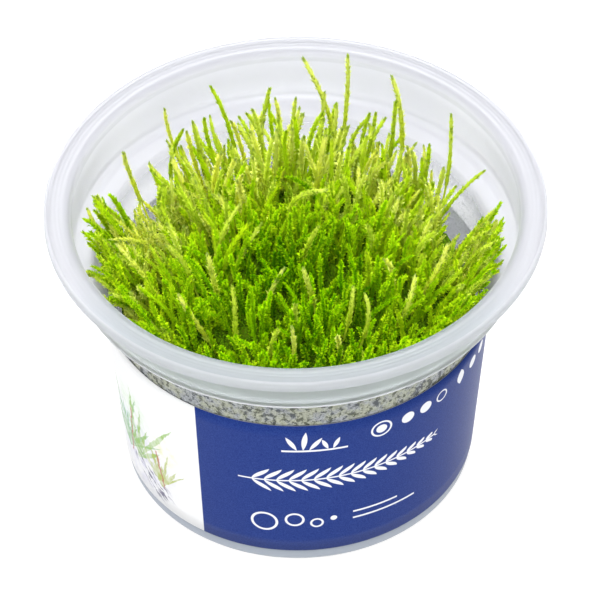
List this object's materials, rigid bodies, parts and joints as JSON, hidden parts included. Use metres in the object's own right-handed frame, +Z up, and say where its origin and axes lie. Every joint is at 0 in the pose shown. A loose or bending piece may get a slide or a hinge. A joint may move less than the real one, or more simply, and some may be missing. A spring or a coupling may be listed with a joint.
{
  "type": "moss clump in a culture cup",
  "caption": "Dense clump of upright leafy moss shoots growing in a round see-through plastic cup with a wide rim and a printed paper band round its wall.",
  "frame": {"origin": "middle of the foot, on the surface the cup stands on", "axes": "+Z up along the cup's axis; -Y to the front of the label, +X to the viewer's right"},
  "size_m": [0.1, 0.1, 0.079],
  "materials": {
    "frosted_plastic": "frosted, see-through",
    "printed_paper": "satin print, blue with one white panel",
    "nutrient_gel": "wet and smooth",
    "moss": "damp fine leaves"
  },
  "bodies": {
    "root": {"cup": "frosted_plastic", "label": "printed_paper", "gel": "nutrient_gel", "moss_clump": "moss"}
  },
  "joints": []
}
